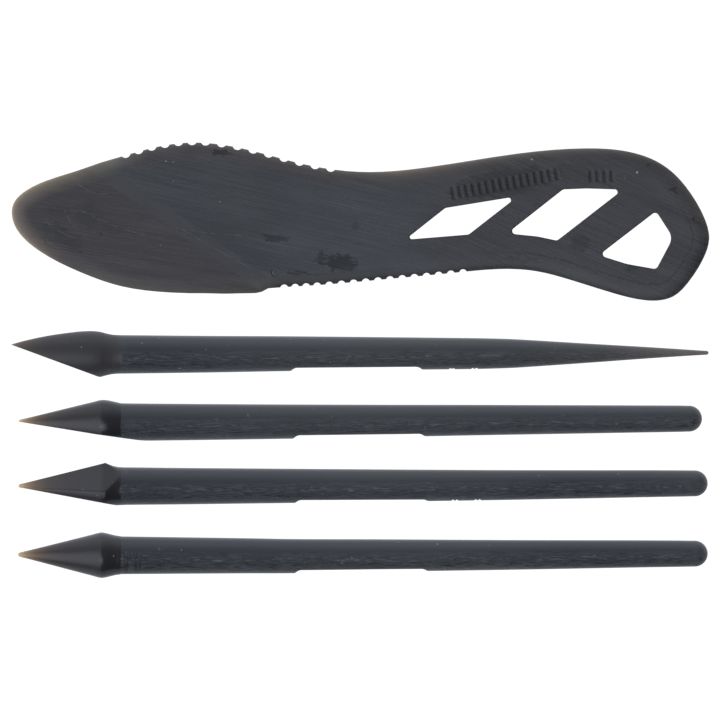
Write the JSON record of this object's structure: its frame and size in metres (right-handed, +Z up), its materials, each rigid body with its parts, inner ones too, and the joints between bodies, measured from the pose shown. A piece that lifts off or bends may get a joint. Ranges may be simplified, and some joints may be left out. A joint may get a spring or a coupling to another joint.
{
  "type": "clay shaper tool set",
  "caption": "Flat serrated modelling paddle with slanted handle openings, laid in a row with round pen shapers whose cut cone and leaf tips carve, press and smooth clay.",
  "frame": {"origin": "under the middle of the whole row, on the surface that the tools lie on", "axes": "+X along the tools from the working tips to the butts, +Y across the row from the cone pen to the paddle, +Z up"},
  "size_m": [0.184, 0.115, 0.0124],
  "materials": {
    "paddle_nylon": "satin, translucent brown where thin",
    "pen_nylon": "satin, translucent brown at the tips"
  },
  "bodies": {
    "paddle": {"serrated_paddle": "paddle_nylon"},
    "leaf_needle": {"leaf_needle_pen": "pen_nylon"},
    "chisel": {"chisel_pen": "pen_nylon"},
    "pyramid": {"pyramid_pen": "pen_nylon"},
    "cone": {"cone_pen": "pen_nylon"}
  },
  "joints": [
    {"name": "lift_leaf_needle", "type": "slide", "parent": "paddle", "child": "leaf_needle", "axis": [0, 0, 1], "range_m": [0, 0.06]},
    {"name": "lift_chisel", "type": "slide", "parent": "paddle", "child": "chisel", "axis": [0, 0, 1], "range_m": [0, 0.06]},
    {"name": "lift_pyramid", "type": "slide", "parent": "paddle", "child": "pyramid", "axis": [0, 0, 1], "range_m": [0, 0.06]},
    {"name": "lift_cone", "type": "slide", "parent": "paddle", "child": "cone", "axis": [0, 0, 1], "range_m": [0, 0.06]}
  ]
}
